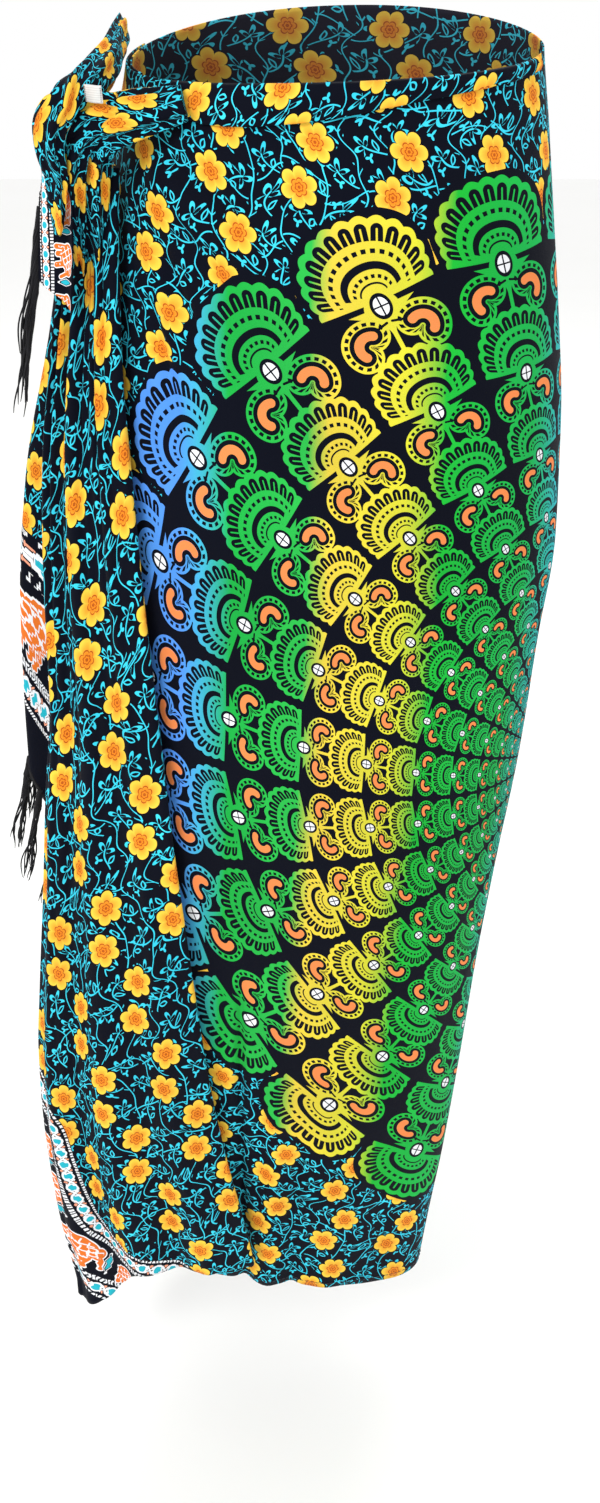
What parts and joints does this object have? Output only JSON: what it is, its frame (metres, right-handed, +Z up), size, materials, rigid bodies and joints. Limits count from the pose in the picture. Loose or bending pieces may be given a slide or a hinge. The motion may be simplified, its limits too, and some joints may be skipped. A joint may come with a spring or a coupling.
{
  "type": "sarong",
  "caption": "Long rectangular cloth wrap worn round the hips, knotted at one side, with a folded cascade hanging from the knot and a tasselled end.",
  "frame": {"origin": "middle of the waist opening, where the body holds the cloth", "axes": "+Z up along the body, the front faces -Y, the knot is on the -X side"},
  "size_m": [0.3618, 0.2353, 0.9802],
  "materials": {
    "printed_rayon": "soft matte printed rayon, near black ground",
    "black_yarn": "matte twisted yarn",
    "label_tape": "smooth white tape"
  },
  "bodies": {
    "root": {"wrap": "printed_rayon", "waist_fold": "printed_rayon", "cascade": "printed_rayon", "back_end_flap": "printed_rayon", "knot_tail": "printed_rayon", "knot_front_roll": "printed_rayon", "knot_back_roll": "printed_rayon", "front_end_fringe": "black_yarn", "flap_fringe": "black_yarn", "tail_fringe": "black_yarn", "label": "label_tape"}
  },
  "joints": []
}
